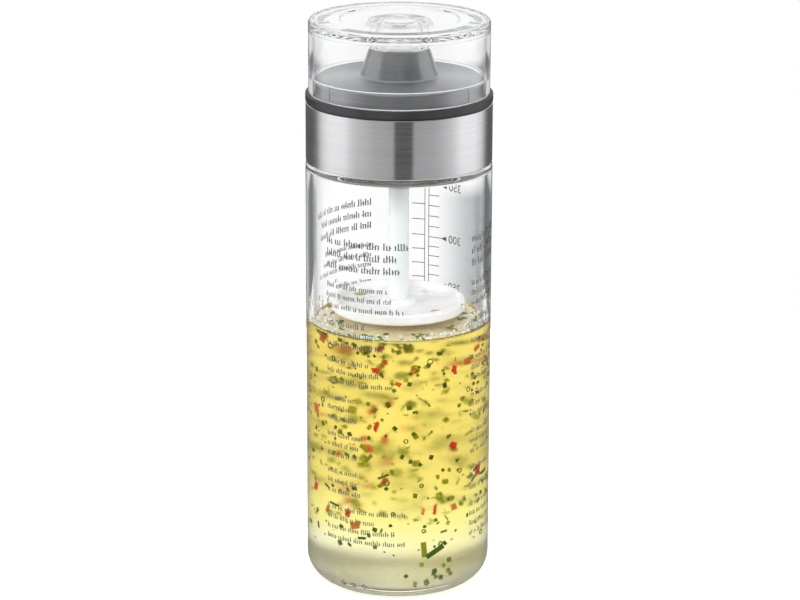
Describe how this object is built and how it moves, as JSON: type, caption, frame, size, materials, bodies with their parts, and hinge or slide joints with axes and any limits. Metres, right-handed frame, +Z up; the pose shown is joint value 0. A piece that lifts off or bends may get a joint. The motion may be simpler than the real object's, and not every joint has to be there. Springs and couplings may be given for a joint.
{
  "type": "salad dressing shaker bottle",
  "caption": "Tall cylindrical glass shaker bottle with a steel-collared screw lid, a mixing disc on a stem, a flared pouring spout and a clear pull-off cap.",
  "frame": {"origin": "centre of the bottle's foot, on the surface that it stands on", "axes": "+Z up along the bottle's axis, -Y towards the printed front, +X to the right of someone facing the front"},
  "size_m": [0.065, 0.065, 0.2028],
  "materials": {
    "glass": "clear polished glass",
    "silicone": "satin translucent silicone",
    "core_plastic": "moulded satin plastic",
    "collar_steel": "brushed round the collar",
    "plate_steel": "pressed and turned bright",
    "dark_plastic": "moulded satin dark grey",
    "stem_plastic": "translucent moulding",
    "disc_plastic": "milky translucent moulding",
    "cap_plastic": "clear polished moulding"
  },
  "bodies": {
    "bottle": {"glass_bottle": "glass"},
    "gasket": {"neck_gasket": "silicone"},
    "lid": {"thread_insert": "core_plastic", "steel_collar": "collar_steel", "seat_ring": "dark_plastic", "spout_plate": "plate_steel", "pour_liner": "core_plastic", "liner_seal": "silicone", "mixing_stem": "stem_plastic", "mixing_disc": "disc_plastic"},
    "cap": {"clear_cap": "cap_plastic", "plug_seal": "silicone"}
  },
  "joints": [
    {"name": "lid_rise", "type": "slide", "parent": "bottle", "child": "gasket", "axis": [0, 0, 1], "range_m": [0, 0.0063]},
    {"name": "lid_turn", "type": "hinge", "parent": "gasket", "child": "lid", "pos_m": [0, 0, 0.16], "axis": [0, 0, 1], "range_deg": [0, 450]},
    {"name": "cap_lift", "type": "slide", "parent": "lid", "child": "cap", "axis": [0, 0, 1], "range_m": [0, 0.035]}
  ],
  "couplings": [
    {"joint": "lid_rise", "follows": "lid_turn", "m_per_rad": 0.00079577}
  ]
}
